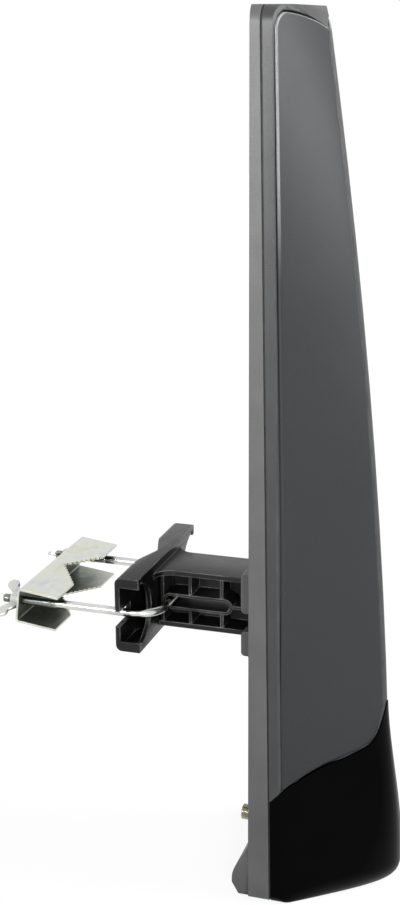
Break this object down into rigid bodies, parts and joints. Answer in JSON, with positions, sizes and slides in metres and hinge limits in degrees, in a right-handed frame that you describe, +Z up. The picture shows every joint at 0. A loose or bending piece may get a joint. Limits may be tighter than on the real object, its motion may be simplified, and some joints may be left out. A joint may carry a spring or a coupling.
{
  "type": "outdoor tv antenna",
  "caption": "Slim upright outdoor TV antenna with a prow shaped housing, gloss lower cover, coaxial socket and an adjustable rod and bridge mast clamp.",
  "frame": {"origin": "middle of the jaw's mouth on the mast bracket, level with the clamp rods", "axes": "+X to the antenna's front (nose), +Y to its left, +Z up along the mast"},
  "size_m": [0.2331, 0.1004, 0.495],
  "materials": {
    "rear_plastic": "fine grain moulded plastic, dark grey",
    "front_plastic": "fine grain moulded plastic, dark grey",
    "panel": "satin metallic grey",
    "gloss_black": "piano black",
    "seal": "matt",
    "screw_steel": "plain",
    "element_sheet": "rolled",
    "board": "solder mask",
    "lead_jacket": "satin",
    "can": "tinned",
    "socket_metal": "pale plated",
    "insulator": "smooth",
    "contact_metal": "gold plated",
    "bracket_plastic": "glass filled moulding, charcoal",
    "zinc_rod": "bright zinc",
    "zinc_sheet": "yellow tinged zinc",
    "zinc_nut": "bright zinc"
  },
  "bodies": {
    "antenna": {"rear_shell": "rear_plastic", "front_shell": "front_plastic", "side_panel_left": "panel", "side_panel_right": "panel", "lower_cover": "gloss_black", "shell_gasket": "seal", "shell_screws": "screw_steel", "upper_radiator": "element_sheet", "lower_radiator": "element_sheet", "radiator_screws": "screw_steel", "balun_board": "board", "coax_lead": "lead_jacket", "amplifier_board": "board", "shield_can": "can", "board_screws": "screw_steel", "connector_body": "socket_metal", "connector_nut": "socket_metal", "connector_seal": "seal", "connector_insulator": "insulator", "connector_contact": "contact_metal", "mast_bracket": "bracket_plastic"},
    "bolt": {"u_bolt": "zinc_rod"},
    "bridge": {"toothed_bridge": "zinc_sheet"},
    "left_nut": {"wing_nut_left": "zinc_nut"},
    "right_nut": {"wing_nut_right": "zinc_nut"}
  },
  "joints": [
    {"name": "bolt_slide", "type": "slide", "parent": "antenna", "child": "bolt", "axis": [1, 0, 0], "range_m": [0, 0.033]},
    {"name": "bridge_slide", "type": "slide", "parent": "antenna", "child": "bridge", "axis": [1, 0, 0], "range_m": [0, 0.035]},
    {"name": "left_nut_turn", "type": "hinge", "parent": "bridge", "child": "left_nut", "pos_m": [-0.066, 0.0375, 0], "axis": [1, 0, 0], "continuous": true},
    {"name": "right_nut_turn", "type": "hinge", "parent": "bridge", "child": "right_nut", "pos_m": [-0.066, -0.0375, 0], "axis": [1, 0, 0], "continuous": true}
  ]
}
